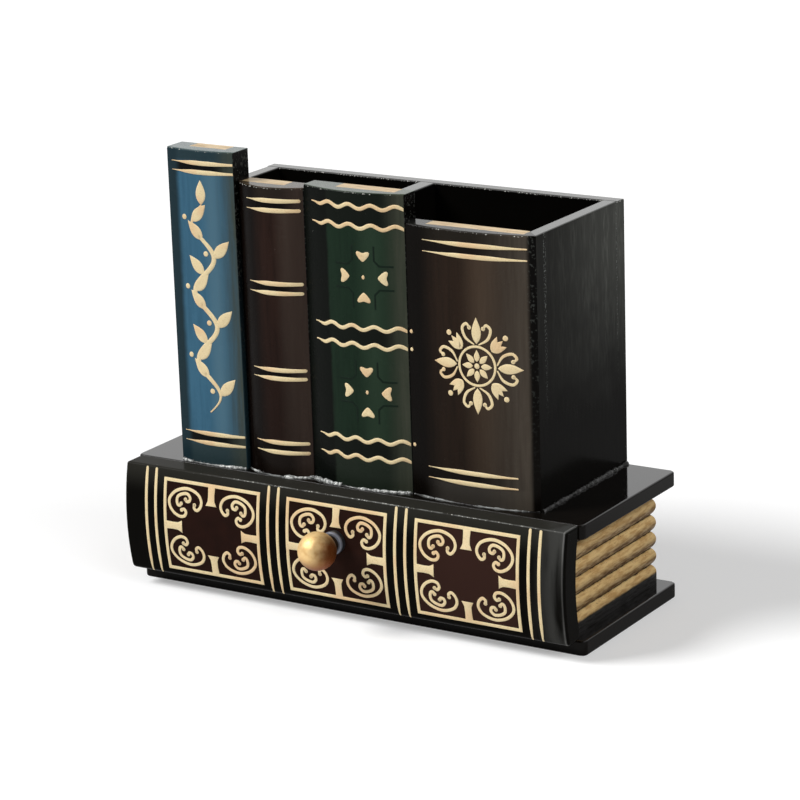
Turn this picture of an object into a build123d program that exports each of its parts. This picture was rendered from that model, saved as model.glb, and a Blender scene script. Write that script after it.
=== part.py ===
from build123d import *
import os

# Desk pen holder shaped as books: a base like a book lying flat, whose spine is a drawer
# front, and on it a two-well rack whose front wall is four standing book spines.
# Millimetres. Origin at the middle of the underside, +X to the right, front towards -Y.

# Base boards, the covers of the lying book
base_width = 200.0
board_depth = 75.0
board_thickness = 6.0
board_corner_radius = 2.5
board_edge_radius = 0.8
board_overhang = 1.4

# Page blocks, ribbed strips that hold the boards apart on three sides
page_height = 39.5
page_inset = 5.0
page_thickness = 13.0
page_setback = 1.0
rib_pitch = 6.8
rib_depth = 1.7
rib_foot = 1.2

# Rack on the base
rack_margin = 20.0
rack_height = 105.7
rack_wall = 6.0
rack_edge_radius = 0.8
divider_thickness = 7.0
divider_offset = -4.1

# Standing spines: the rack's front wall
spine_back = 13.0
spine_edge_radius = 0.8
blue_overhang = 1.0
blue_width = 31.0
blue_height = 126.5
blue_setback = 1.2
blue_crown = 1.8
brown_width = 30.2
brown_height = 115.0
brown_setback = 0.4
brown_crown = 5.0
green_width = 44.8
green_height = 116.5
green_setback = 1.2
green_crown = 4.3
broad_setback = 2.6
broad_crown = 3.0
broad_corner = 3.6

# Drawer front, the spine of the lying book
front_gap = 0.4
front_edge = 9.2
front_crown = 2.7
front_lift = 0.8
front_inset = 0.1
front_hollow = 3.2
front_top_radius = 1.0
front_bottom_radius = 2.5
front_end_radius = 1.3

# Drawer box
drawer_side = 6.0
drawer_back = 6.0
drawer_floor = 3.0
drawer_floor_lift = 3.0
drawer_edge_radius = 0.8
groove_depth = 3.0
groove_clearance = 0.1
housing_depth = 3.0
housing_rise = 2.0
drawer_gap_beside = 0.5
drawer_gap_below = 0.3
drawer_gap_above = 1.2
drawer_gap_behind = 1.0

# Knob, its washer and its screw
knob_rise = 4.6
knob_diameter = 15.0
knob_reach = 12.6
knob_neck = 6.4
knob_foot = 7.0
knob_foot_thickness = 0.9
washer_diameter = 9.2
washer_thickness = 3.2
washer_edge_radius = 0.6
screw_diameter = 3.0
screw_clearance = 0.4
screw_head_diameter = 6.0
screw_head_thickness = 2.2
screw_head_radius = 0.9
screw_depth_in_knob = 8.0
screw_fit = 0.1
slot_width = 0.8
slot_depth = 1.0

# Brads that pin the boards
brad_diameter = 1.2
brad_length = 18.0
brad_head_diameter = 2.0
brad_head_thickness = 0.8
brad_clearance = 0.1
brad_end_margin = 9.0

# Overrun of every cutting solid
overrun = 1.0

# Places worked out from the sizes above
board_front = -board_depth / 2
board_back = board_depth / 2
base_top = 2 * board_thickness + page_height
page_side = base_width / 2 - page_inset
page_rear = board_back - page_inset
page_front = board_front + page_setback
rack_side = base_width / 2 - rack_margin
rack_inner = rack_side - rack_wall
rack_top = base_top + rack_height
rack_back_inner = board_back - rack_wall
spine_plane = board_front + spine_back
blue_left = -rack_side - blue_overhang
brown_left = blue_left + blue_width
green_left = brown_left + brown_width
broad_left = green_left + green_width
front_back = board_front - front_gap
front_bottom = board_thickness + front_lift
front_height = base_top - front_bottom
front_face = front_back - front_edge - front_crown
front_half = base_width / 2 - front_inset
drawer_half = page_side - page_thickness - drawer_gap_beside
drawer_bottom = board_thickness + drawer_gap_below
drawer_top = base_top - board_thickness - drawer_gap_above
drawer_rear = page_rear - page_thickness - drawer_gap_behind
drawer_floor_bottom = drawer_bottom + drawer_floor_lift
knob_height = front_bottom + front_height / 2 + knob_rise

ON_FLOOR = (Align.CENTER, Align.CENTER, Align.MIN)


def block(x0, x1, y0, y1, z0, z1):
    """A plain block between two corners."""
    size = Box(x1 - x0, y1 - y0, z1 - z0, align=(Align.MIN, Align.MIN, Align.MIN))
    return Pos(x0, y0, z0) * size


def prism(outline, bottom, height):
    """A plan outline raised straight up."""
    return Pos(0, 0, bottom) * extrude(make_face(outline), height, dir=(0, 0, 1))


def eased_wall(piece, axis):
    """Round the two long top edges of a wall that runs along an axis."""
    top = piece.faces().sort_by(Axis.Z)[-1]
    return fillet(top.edges().filter_by(axis), rack_edge_radius)


def eased_spine(piece, front_edges):
    """Round the front top edges of a spine."""
    top = piece.faces().sort_by(Axis.Z)[-1]
    return fillet(top.edges().sort_by(Axis.Y)[:front_edges], spine_edge_radius)


def cover_board(bottom):
    """One flat board with rounded corners and eased edges, a little wider than the drawer front."""
    width = base_width + 2 * board_overhang
    plate = Pos(0, 0, bottom) * Box(width, board_depth, board_thickness, align=ON_FLOOR)
    plate = fillet(plate.edges().filter_by(Axis.Z), board_corner_radius)
    rims = plate.faces().filter_by(Axis.Z).edges()
    return fillet(rims, board_edge_radius)


def rib_face():
    """Cross-section of a page block: x is outward from the rib crests, y is up. The lowest rib stands on a plinth."""
    valley = -rib_depth
    rib_count = int((page_height - rib_foot) // rib_pitch)
    ribs_top = rib_foot + rib_count * rib_pitch
    plinth_top = rib_foot + rib_pitch / 2
    lines = [
        Line((-page_thickness, 0), (0, 0)),
        Line((0, 0), (0, plinth_top)),
        TangentArc((0, plinth_top), (valley, rib_foot + rib_pitch), tangent=(0, 1)),
    ]
    for number in range(1, rib_count):
        low = rib_foot + number * rib_pitch
        middle = low + rib_pitch / 2
        lines.append(ThreePointArc((valley, low), (0, middle), (valley, low + rib_pitch)))
    lines += [
        Line((valley, ribs_top), (valley, page_height)),
        Line((valley, page_height), (-page_thickness, page_height)),
        Line((-page_thickness, page_height), (-page_thickness, 0)),
    ]
    return make_face(lines)


def page_strip(plan, origin, outward):
    """A ribbed strip with its crests at origin, cut to a plan outline."""
    along = Vector(0, 0, 1).cross(outward)
    section = Plane(origin=origin, x_dir=outward, z_dir=along * -1) * rib_face()
    strip = extrude(section, base_width, both=True)
    return strip & prism(plan, board_thickness, page_height)


def closed_outline(points):
    """A closed outline of straight runs."""
    return Polyline(*points, close=True)


def page_blocks():
    """Right, left and rear strips, mitred at the two rear corners."""
    side_inner = page_side - page_thickness
    rear_inner = page_rear - page_thickness
    blocks = {}
    for name, sign in (("right_page_block", 1), ("left_page_block", -1)):
        plan = closed_outline([
            (sign * side_inner, page_front),
            (sign * page_side, page_front),
            (sign * page_side, page_rear),
            (sign * side_inner, rear_inner),
        ])
        blocks[name] = page_strip(plan, (sign * page_side, 0, board_thickness), Vector(sign, 0, 0))
    rear_plan = closed_outline([
        (-side_inner, rear_inner),
        (side_inner, rear_inner),
        (page_side, page_rear),
        (-page_side, page_rear),
    ])
    blocks["rear_page_block"] = page_strip(rear_plan, (0, page_rear, board_thickness), Vector(0, 1, 0))
    return blocks


def spine(left, width, height, setback, crown):
    """A standing spine: flat back, bowed front, straight up."""
    right = left + width
    crest = board_front + setback
    edge = crest + crown
    outline = [
        Line((left, edge), (left, spine_plane)),
        Line((left, spine_plane), (right, spine_plane)),
        Line((right, spine_plane), (right, edge)),
        ThreePointArc((right, edge), (left + width / 2, crest), (left, edge)),
    ]
    return eased_spine(prism(outline, base_top, height), 1)


def broad_spine():
    """The broad spine: its right end is rounded and mitred to the right wall."""
    crest = board_front + broad_setback
    edge = crest + broad_crown
    bow_end = rack_side - broad_corner
    mitre = spine_plane - rack_wall
    bow = ThreePointArc((bow_end, edge), ((broad_left + bow_end) / 2, crest), (broad_left, edge))
    corner = TangentArc((bow_end, edge), (rack_side, mitre), tangent=(bow % 0) * -1)
    outline = [
        Line((broad_left, edge), (broad_left, spine_plane)),
        Line((broad_left, spine_plane), (rack_inner, spine_plane)),
        Line((rack_inner, spine_plane), (rack_side, mitre)),
        corner,
        bow,
    ]
    return eased_spine(prism(outline, base_top, rack_height), 2)


def rack_walls():
    """Side walls, back wall and divider of the two wells."""
    left = block(-rack_side, -rack_inner, spine_plane, rack_back_inner, base_top, rack_top)
    right_plan = closed_outline([
        (rack_inner, spine_plane),
        (rack_side, spine_plane - rack_wall),
        (rack_side, rack_back_inner),
        (rack_inner, rack_back_inner),
    ])
    right = prism(right_plan, base_top, rack_height)
    back = block(-rack_side, rack_side, rack_back_inner, board_back, base_top, rack_top)
    divider_left = divider_offset - divider_thickness / 2
    divider_right = divider_offset + divider_thickness / 2
    divider = block(divider_left, divider_right, spine_plane, rack_back_inner, base_top, rack_top)
    return {
        "rack_left_wall": eased_wall(left, Axis.Y),
        "rack_right_wall": eased_wall(right, Axis.Y),
        "rack_back_wall": eased_wall(back, Axis.X),
        "rack_divider": eased_wall(divider, Axis.Y),
    }


def along_x(section, x0, x1):
    """A section drawn as y, z carried along X from x0 to x1."""
    upright = Plane(origin=(x0, 0, 0), x_dir=(0, 1, 0), z_dir=(1, 0, 0)) * section
    return extrude(upright, x1 - x0, dir=(1, 0, 0))


def end_hollow(x0, x1):
    """What is cut from the back of the drawer front beside the box, so that its end is a curved strip."""
    middle = front_bottom + front_height / 2
    deepest = (front_back - front_hollow, middle)
    outline = [
        ThreePointArc((front_back, front_bottom), deepest, (front_back, base_top)),
        Line((front_back, base_top), (front_back, front_bottom)),
    ]
    return along_x(make_face(outline), x0, x1)


def drawer_front_blank():
    """The drawer front before its joints are cut: bowed from top to bottom."""
    top = base_top
    edge = front_back - front_edge
    middle = front_bottom + front_height / 2
    outline = [
        Line((front_back, front_bottom), (front_back, top)),
        Line((front_back, top), (edge, top)),
        ThreePointArc((edge, top), (front_face, middle), (edge, front_bottom)),
        Line((edge, front_bottom), (front_back, front_bottom)),
    ]
    section = make_face(outline)
    front_corners = section.vertices().sort_by(Axis.X)[:2].sort_by(Axis.Y)
    section = fillet(front_corners[0], front_bottom_radius)
    top_corner = section.vertices().sort_by(Axis.Y)[-2:].sort_by(Axis.X)[0]
    section = fillet(top_corner, front_top_radius)
    bar = along_x(section, -front_half, front_half)
    ends = bar.faces().sort_by(Axis.X)
    rims = ends[0].edges() + ends[-1].edges()
    bar = fillet(rims, front_end_radius)
    bar -= end_hollow(drawer_half, front_half + overrun)
    return bar - end_hollow(-front_half - overrun, -drawer_half)


def drawer_box():
    """Drawer front, sides, back and floor with their housings and grooves."""
    inner = drawer_half - drawer_side
    tongue_front = front_back - housing_depth
    tongue_bottom = front_bottom + housing_rise
    floor_top = drawer_floor_bottom + drawer_floor
    groove_low = drawer_floor_bottom - groove_clearance
    groove_high = floor_top + groove_clearance
    front = drawer_front_blank()
    front -= block(-inner, inner, front_back - groove_depth, front_back + overrun,
                   groove_low, groove_high)
    side_groove = block(-inner - groove_depth, inner + groove_depth, tongue_front - overrun,
                        drawer_rear + overrun, groove_low, groove_high)
    pieces = {}
    for name, sign in (("drawer_right_side", 1), ("drawer_left_side", -1)):
        low, high = sorted((sign * inner, sign * drawer_half))
        tongue = block(low, high, tongue_front, front_back, tongue_bottom, drawer_top)
        front -= tongue
        side = block(low, high, front_back, drawer_rear, drawer_bottom, drawer_top)
        upper = side.faces().sort_by(Axis.Z)[-1].edges().filter_by(Axis.Y)
        pieces[name] = fillet(upper, drawer_edge_radius) + tongue - side_groove
    pieces["drawer_front"] = front
    back = block(-inner, inner, drawer_rear - drawer_back, drawer_rear, groove_high, drawer_top)
    upper = back.faces().sort_by(Axis.Z)[-1].edges().filter_by(Axis.X)
    pieces["drawer_back"] = fillet(upper, drawer_edge_radius)
    floor_half = inner + groove_depth - groove_clearance
    floor_front = front_back - groove_depth + groove_clearance
    floor = block(-floor_half, floor_half, front_back, drawer_rear, drawer_floor_bottom, floor_top)
    front_lip = block(-inner, inner, floor_front, front_back, drawer_floor_bottom, floor_top)
    pieces["drawer_floor"] = floor + front_lip
    return pieces


def along_y(radius, y0, y1):
    """A round bar along Y at the knob's place."""
    bar = Cylinder(radius, y1 - y0, align=ON_FLOOR)
    return Pos(0, y1, knob_height) * Rot(90, 0, 0) * bar


def front_face_at(height):
    """Y of the drawer front's bowed face at a height."""
    half = front_height / 2
    radius = (half ** 2 + front_crown ** 2) / (2 * front_crown)
    drop = height - (front_bottom + half)
    return front_face + radius - (radius ** 2 - drop ** 2) ** 0.5


def turned_knob(seat, ball_middle):
    """A ball on a neck with a flat foot, turned about Y, from its seat outwards."""
    radius = knob_diameter / 2
    reach = seat - ball_middle
    joint = reach - (radius ** 2 - (knob_neck / 2) ** 2) ** 0.5
    outline = [
        Line((0, 0), (knob_foot / 2, 0)),
        Line((knob_foot / 2, 0), (knob_foot / 2, knob_foot_thickness)),
        Line((knob_foot / 2, knob_foot_thickness), (knob_neck / 2, joint)),
        ThreePointArc((knob_neck / 2, joint), (radius, reach), (0, reach + radius)),
        Line((0, reach + radius), (0, 0)),
    ]
    place = Plane(origin=(0, seat, knob_height), x_dir=(1, 0, 0), z_dir=(0, 0, -1))
    return revolve(place * make_face(outline), Axis((0, seat, knob_height), (0, -1, 0)))


def knob_pieces():
    """Ball knob, the washer under it and the screw from inside the drawer."""
    washer_back = front_face_at(knob_height)
    washer_front = washer_back - washer_thickness
    screw_tip = washer_front - screw_depth_in_knob
    knob = turned_knob(washer_front, washer_back - knob_reach)
    knob -= along_y((screw_diameter + screw_fit) / 2, screw_tip - screw_fit, washer_front)
    washer = along_y(washer_diameter / 2, washer_front, washer_back)
    washer = fillet(washer.faces().sort_by(Axis.Y)[0].edges(), washer_edge_radius)
    washer -= along_y((screw_diameter + screw_clearance) / 2, washer_front, washer_back)
    shank = along_y(screw_diameter / 2, screw_tip, front_back)
    head = along_y(screw_head_diameter / 2, front_back, front_back + screw_head_thickness)
    head = fillet(head.faces().sort_by(Axis.Y)[-1].edges(), screw_head_radius)
    slot = Pos(0, front_back + screw_head_thickness, knob_height) * Box(
        screw_head_diameter, 2 * slot_depth, slot_width)
    screw = shank + head - slot
    hole_radius = (screw_diameter + screw_clearance) / 2
    hole = along_y(hole_radius, front_face - overrun, front_back + overrun)
    seat_cut = along_y(washer_diameter / 2, washer_front, washer_back)
    return {"knob": knob, "knob_washer": washer, "knob_screw": screw}, hole + seat_cut


def brad(head_at, direction):
    """A headed pin driven from head_at along a direction, and the hole it sits in."""
    place = Plane(origin=head_at, z_dir=direction)
    pin = Cylinder(brad_diameter / 2, brad_length, align=ON_FLOOR)
    pin += Cylinder(brad_head_diameter / 2, brad_head_thickness, align=ON_FLOOR)
    bore = Cylinder((brad_diameter + brad_clearance) / 2, brad_length + brad_clearance, align=ON_FLOOR)
    sink = Cylinder((brad_head_diameter + brad_clearance) / 2,
                    brad_head_thickness + brad_clearance, align=ON_FLOOR)
    return place * pin, place * (bore + sink)


def spread(low, high, count):
    """Evenly spaced places from low to high, kept in from both ends by the margin."""
    first = low + brad_end_margin
    step = (high - low - 2 * brad_end_margin) / (count - 1)
    return [first + number * step for number in range(count)]


def brad_places():
    """Each group of brads: where each head lies and which way it is driven."""
    up = (0, 0, 1)
    forward = (0, -1, 0)
    block_middle = page_side - page_thickness / 2
    wall_middle = rack_side - rack_wall / 2
    rear_middle = page_rear - page_thickness / 2
    base = []
    for sign in (1, -1):
        for y in spread(page_front, page_rear - page_thickness, 3):
            base.append(((sign * block_middle, y, 0), up))
    for x in spread(page_thickness - page_side, page_side - page_thickness, 3):
        base.append(((x, rear_middle, 0), up))
    under_rack = base_top - board_thickness
    rack = []
    for sign in (1, -1):
        for y in spread(spine_plane, rack_back_inner, 2):
            rack.append(((sign * wall_middle, y, under_rack), up))
    for x in spread(-rack_side, rack_side, 3):
        rack.append(((x, board_back - rack_wall / 2, under_rack), up))
    wall = []
    for x in (-wall_middle, divider_offset, wall_middle):
        for z in spread(base_top + brad_length, rack_top, 3):
            wall.append(((x, board_back, z), forward))
    drawer = []
    for sign in (1, -1):
        for z in spread(drawer_floor_bottom + drawer_floor, drawer_top, 2):
            drawer.append(((sign * drawer_half, drawer_rear - drawer_back / 2, z), (-sign, 0, 0)))
    return {"base_brads": base, "rack_brads": rack, "wall_brads": wall, "drawer_brads": drawer}


def assemble():
    """All nodes by name, with the brad holes and the knob's hole cut."""
    nodes = {
        "bottom_board": cover_board(0),
        "top_board": cover_board(base_top - board_thickness),
    }
    nodes.update(page_blocks())
    nodes["blue_spine"] = spine(blue_left, blue_width, blue_height, blue_setback, blue_crown)
    nodes["brown_spine"] = spine(brown_left, brown_width, brown_height, brown_setback, brown_crown)
    nodes["green_spine"] = spine(green_left, green_width, green_height, green_setback, green_crown)
    nodes["broad_spine"] = broad_spine()
    nodes.update(rack_walls())
    nodes.update(drawer_box())
    knob, knob_cut = knob_pieces()
    nodes["drawer_front"] -= knob_cut
    nodes.update(knob)
    pinned = {
        "base_brads": ["bottom_board", "left_page_block", "right_page_block", "rear_page_block"],
        "rack_brads": ["top_board", "rack_left_wall", "rack_right_wall", "rack_back_wall"],
        "wall_brads": ["rack_back_wall", "rack_left_wall", "rack_right_wall", "rack_divider"],
        "drawer_brads": ["drawer_left_side", "drawer_right_side", "drawer_back"],
    }
    for group, places in brad_places().items():
        pairs = [brad(head_at, direction) for head_at, direction in places]
        for node in pinned[group]:
            for pin, bore in pairs:
                nodes[node] -= bore
        nodes[group] = Compound(children=[pin for pin, bore in pairs])
    return nodes


os.makedirs("parts", exist_ok=True)
for node_name, shape in assemble().items():
    export_step(shape, f"parts/{node_name}.step")
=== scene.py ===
"""Looks of the book-shaped pen holder: lacquer, painted spines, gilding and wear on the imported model."""
import math
import random
from collections import namedtuple
from functools import partial
from types import SimpleNamespace

import bmesh
import bpy
from mathutils import Matrix, Vector
from mathutils.bvhtree import BVHTree


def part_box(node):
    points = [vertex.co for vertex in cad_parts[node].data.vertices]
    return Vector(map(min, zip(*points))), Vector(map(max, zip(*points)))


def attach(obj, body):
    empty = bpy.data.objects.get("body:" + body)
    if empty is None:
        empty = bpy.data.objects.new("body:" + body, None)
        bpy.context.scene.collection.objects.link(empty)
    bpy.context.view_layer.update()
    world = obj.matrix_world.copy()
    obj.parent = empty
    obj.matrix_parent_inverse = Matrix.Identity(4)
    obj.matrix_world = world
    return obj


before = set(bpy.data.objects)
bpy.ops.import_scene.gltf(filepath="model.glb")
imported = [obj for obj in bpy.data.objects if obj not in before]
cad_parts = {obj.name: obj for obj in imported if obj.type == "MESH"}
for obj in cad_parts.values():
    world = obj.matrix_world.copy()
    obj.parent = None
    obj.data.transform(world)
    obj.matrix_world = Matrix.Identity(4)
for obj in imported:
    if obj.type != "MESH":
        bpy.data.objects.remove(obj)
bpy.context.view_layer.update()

# Units: every size and place below is in millimetres, and meshes are written in metres
MM = 0.001

# Camera, fitted to the photograph's view
camera_place = Vector((638.10, -1006.42, 424.15))
camera_azimuth = 32.379
camera_elevation = 16.243
camera_roll = -1.898
camera_lens = 142.85
camera_sensor = 36.0

# Light: a soft sun from the left and a broad weak one from the right, each with its azimuth, elevation,
# strength and spread, and a pale dome
suns = (("key", -52.0, 45.0, 3.0, 24.0), ("fill", 75.0, 35.0, 1.3, 50.0))
dome_low_strength = 0.08
dome_high_strength = 0.2
dome_heights = (0.0, 0.9)
mirror_reaches = (-0.1, 0.5)

# Floor
floor_tone = (219, 219, 219)
floor_shade_tone = (217, 217, 217)
floor_lift = 0.34
floor_reach = 3000.0
floor_cloud = 60.0
floor_roughness = 0.9
white = (1, 1, 1, 1)

# Colours, as seen, in 0 to 255 values
deep_black_tone = (6, 5, 4)
black_tone = (11, 10, 8)
brown_black_tone = (18, 14, 11)
streak_tone = (30, 30, 27)
rim_tone = (58, 58, 54)
worn_tone = (196, 195, 188)
gilt_tone = (236, 216, 171)
gilt_dark_tone = (213, 183, 131)
gilt_pink_tone = (231, 199, 154)
page_tone = (216, 191, 152)
page_line_tone = (182, 153, 112)

# Surfaces: brush directions, specular levels and layers of detail in a noise
upright_grain = (1.0, 1.0, 14.0)
level_grain = (14.0, 1.0, 1.0)
plain_specular = 0.5
bead_specular = 0.2
wall_specular = 0.012
paint_specular = 0.04
few, some, many, most = 3.0, 4.0, 5.0, 6.0

# Places of the rack's front and back faces along Y
spine_plane = -30.5
back_plane = 37.5

# Raised paint
paint_rise = 0.16
stroke_section_shares = ((-1.0, -0.4), (-0.9, 0.55), (-0.5, 1.0), (0.5, 1.0), (0.9, 0.55), (1.0, -0.4))
plate_section_shares = ((0.0, -0.4), (0.05, 0.6), (0.2, 1.0))
cap_angles = (25, 48, 66, 80)
crease_angle = 50
ray_start = 10.0
edge_keep = 0.4
quarter_turns = [quarter * math.pi / 2 for quarter in range(4)]

# Rules on the spines: heights above the foot, and where they start and end from the left edge
rule_width = 1.9
rule_steps = 30
blue_rule_rises = (8.9, 12.8, 117.9, 121.5)
blue_rule_span = (2.6, 30.4)
brown_rule_rises = (9.9, 13.8, 39.7, 43.1, 73.7, 77.4, 106.1, 109.9)
brown_rule_span = (6.2, 28.4)
broad_rule_rises = (8.4, 12.6, 96.3, 100.6)
broad_foot_span = (8.2, 46.5)
broad_head_span = (8.2, 51.6)

# Waves and hearts on the green spine
wave_rises = (12.7, 19.8, 57.2, 64.2, 103.4, 111.0)
wave_span = (4.8, 44.4)
wave_count = 4.2
wave_turn = -0.754
wave_height = 0.78
wave_width = 1.55
wave_steps = 84
heart_centre_rises = (39.0, 84.0)
heart_centre_across = 28.0
heart_reach = 7.95
heart_width = 5.7
heart_length = 4.1
heart_dot_width = 1.2
heart_dot_height = 1.7
overrun_rises = (19.8, 57.2, 64.2)
overrun_dot = 0.75
overrun_across = 1.4

# Drawer front: panels, their scrolls and bars, and the upright rules between them
panel_pitch = 58.0
panel_width = 45.7
panel_height = 38.1
panel_middle_rise = 22.1
panel_line = 1.4
panel_line_steps = 18
scroll_width = 1.3
scroll_ball = 0.82
scroll_steps = 6
big_scroll_shares = (
    (-0.345, 0.51), (-0.35, 0.44), (-0.29, 0.405), (-0.22, 0.49), (-0.205, 0.61), (-0.27, 0.735),
    (-0.42, 0.815), (-0.575, 0.82), (-0.75, 0.74), (-0.865, 0.59), (-0.87, 0.44), (-0.79, 0.30),
    (-0.665, 0.225), (-0.56, 0.245), (-0.525, 0.33), (-0.565, 0.39), (-0.615, 0.365),
)
small_scroll_shares = (
    (-0.535, 0.60), (-0.51, 0.56), (-0.455, 0.575), (-0.44, 0.65), (-0.50, 0.72), (-0.605, 0.705),
    (-0.695, 0.64), (-0.715, 0.55), (-0.70, 0.475), (-0.66, 0.455), (-0.625, 0.50),
)
bar_length = 8.8
bar_root = 3.4
bar_waist = 3.0
bar_end = 5.3
bar_waist_swell_share, bar_end_swell_share = 1.08, 0.82
bar_widths = ((0.0, bar_root), (0.45, bar_waist), (0.75, bar_waist_swell_share * bar_waist),
              (0.9, bar_end_swell_share * bar_end), (1.0, bar_end))
upright_offsets = (29.0, 87.0)
upright_gap = 4.5
upright_width = 1.35
upright_foot_margin = 1.0
upright_head_margin = 1.1

# Set lacquer in the joints' corners; a thick run has its spine, its start and end along X and its radius
bead_radius = 0.55
wall_bead_radius = 1.3
bead_step = 1.0
run_behind = -28.0
thick_runs = (
    ("blue_spine", -80.4, -75.0, 0.9), ("blue_spine", -62.0, -50.6, 0.8), ("brown_spine", -49.4, -43.0, 0.8),
    ("brown_spine", -31.0, -20.2, 0.9), ("green_spine", -19.3, -5.0, 1.1), ("green_spine", 3.0, 24.0, 0.8),
)

# Paint of the spines: tones, among them a painted highlight in a lighter upright stripe and a painted
# reflection on a paler right edge, strengths of the fading and of the top's shine, heights of the rules,
# widths of the dark left edge and of the right edge's painted reflection, the painted highlight's place, the
# page patch's margins, the right side's reach and the left's blur
Look = namedtuple("Look", "paint field deep glow left right gap head foot glaze "
                          "fade shine rises edges glow_at page_shares side soft")
spine_looks = {
    "blue_spine": Look(
        "blue_paint", (61, 102, 126), (54, 92, 115), (80, 113, 130), (30, 48, 55), (66, 72, 64),
        (10, 12, 12), (40, 58, 64), (44, 60, 64), (96, 115, 112), 0.0, 0.6, blue_rule_rises, (5.2, 9.5),
        21.0, (0.25, 0.2), 0.3, 1.6),
    "brown_spine": Look(
        "brown_paint", (44, 29, 24), (34, 22, 18), (62, 51, 45), (13, 8, 6), (62, 51, 45), (13, 10, 8),
        (40, 33, 28), (34, 28, 24), (80, 68, 52), 0.5, 0.5, brown_rule_rises, (11.0, 9.0), 23.5,
        (0.03, 0.32), 0.3, 3.5),
    "green_spine": Look(
        "green_paint", (27, 44, 32), (23, 38, 28), (43, 60, 46), (11, 14, 11), (66, 69, 58), (18, 22, 18),
        (20, 25, 20), (34, 42, 34), (76, 93, 73), 0.15, 0.6, wave_rises, (12.0, 10.0), 32.0,
        (0.3, 0.12), 0.3, 0.8),
    "broad_spine": Look(
        "umber_paint", (42, 31, 24), (34, 26, 20), (72, 59, 48), (10, 7, 5), (76, 69, 61), (22, 18, 15),
        (33, 29, 24), (68, 64, 59), (36, 37, 33), 0.4, 0.42, broad_rule_rises, (11.0, 26.0), 34.0,
        (0.14, 0.1), 3.0, 6.0),
}


def srgb(tone):
    """Linear colour of a tone given in 0 to 255 values."""
    parts = [value / 255 for value in tone]
    return tuple(p / 12.92 if p <= 0.04045 else ((p + 0.055) / 1.055) ** 2.4 for p in parts) + (1.0,)


def corners(node):
    """Lowest and highest corner of a CAD node, in millimetres."""
    low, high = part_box(node)
    return low / MM, high / MM


def new_object(name, data):
    made = bpy.data.objects.new(name, data)
    bpy.context.scene.collection.objects.link(made)
    return made


# Nodes: now holds the node tree that is being made, its shader and its coordinates in millimetres

now = SimpleNamespace()


def feed(socket, value):
    if isinstance(value, bpy.types.NodeSocket):
        now.tree.links.new(value, socket)
    else:
        socket.default_value = value


def outputs(kind, values, **settings):
    """Outputs of a new node with those settings and input values."""
    node = now.tree.nodes.new("ShaderNode" + kind)
    for name, setting in settings.items():
        setattr(node, name, setting)
    for name, value in values.items():
        feed(node.inputs[name], value)
    return node.outputs


def reckon(operation, first, second):
    return outputs("Math", {0: first, 1: second}, operation=operation)[0]


plus, minus, times, larger = (partial(reckon, name) for name in ("ADD", "SUBTRACT", "MULTIPLY", "MAXIMUM"))


def ramp(value, low, high):
    """0 at low, 1 at high and a smooth step between."""
    values = {"Value": value, "From Min": low, "From Max": high}
    return outputs("MapRange", values, interpolation_type="SMOOTHSTEP")["Result"]


def between(value, low, high, soft):
    """1 from low to high, with edges that fade over twice soft."""
    return times(ramp(value, low - soft, low + soft), ramp(value, high + soft, high - soft))


def blend(share, low, high):
    """From low to high as share goes from 0 to 1."""
    return plus(times(share, high - low), low)


def mix(share, first, second):
    """From the first colour or tone to the second as share goes from 0 to 1."""
    first, second = (srgb(value) if isinstance(value, tuple) else value for value in (first, second))
    return outputs("Mix", {0: share, 6: first, 7: second}, data_type="RGBA")[2]


def seen(mirror_share=1.0):
    """1 for what the camera sees straight, and a share for what it sees in a reflection."""
    path = outputs("LightPath", {})
    mirrored = times(plus(path["Is Glossy Ray"], path["Is Transmission Ray"]), mirror_share)
    return reckon("MINIMUM", plus(path["Is Camera Ray"], mirrored), 1.0)


def noise(size, detail=2.0, stretch=(1.0, 1.0, 1.0)):
    """Random patches of about that size, longer along an axis by its stretch."""
    drawn = outputs("VectorMath", {0: now.place, 1: stretch}, operation="DIVIDE")[0]
    return outputs("TexNoise", {"Vector": drawn, "Scale": 1 / size, "Detail": detail})[0]


def flecks(size, share):
    """Scattered spots of about that size; a larger share gives more of them."""
    level, edge = 1 - share, 0.06
    return ramp(noise(size, some), level, level + edge)


def wander(value, size, reach):
    """The value moved up and down by reach, in patches of that size."""
    middle = 0.5
    return plus(value, times(minus(noise(size), middle), 2 * reach))


def put(name, value):
    feed(now.shader.inputs[name], value)


def paint(colour):
    put("Base Color", colour)


def surface(texture, gloss, height, depth, specular=plain_specular, metallic=0.0):
    """Roughness within gloss, bumps of that depth, and how the surface reflects."""
    put("Roughness", blend(texture, *gloss))
    put("Specular IOR Level", specular)
    put("Metallic", metallic)
    if depth:
        put("Normal", outputs("Bump", {"Distance": depth * MM, "Height": height})["Normal"])


def material(recipe):
    """A function that makes a material of a given name by the recipe."""
    def make(name, *details):
        made = bpy.data.materials.new(name)
        made.use_nodes = True
        now.tree = made.node_tree
        now.shader = now.tree.nodes["Principled BSDF"]
        own = outputs("TexCoord", {})["Object"]
        now.place = outputs("VectorMath", {0: own, "Scale": 1 / MM}, operation="SCALE")[0]
        now.x, now.y, now.z = outputs("SeparateXYZ", {0: now.place})
        recipe(*details)
        return made

    return make


# Materials: lacquer

def lacquer_surface(grain, specular, gloss, depth):
    """Drawn-out brush marks over a slight orange peel, duller in patches."""
    brush_size, peel_size, patch_size = 0.7, 2.2, 9.0
    marks = plus(noise(brush_size, few, grain), noise(peel_size))
    surface(noise(patch_size, some), gloss, marks, depth, specular)


def glossy_top(node, edge_share):
    """A clear coat on the upper face, of which the edges keep a share."""
    top = corners(node)[1].z
    coat_deep, coat_shallow, coat_roughness = 0.4, 0.05, 0.07
    upper = ramp(now.z, top - coat_deep, top - coat_shallow)
    put("Coat Weight", blend(upper, edge_share, 1.0))
    put("Coat Roughness", coat_roughness)


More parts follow.
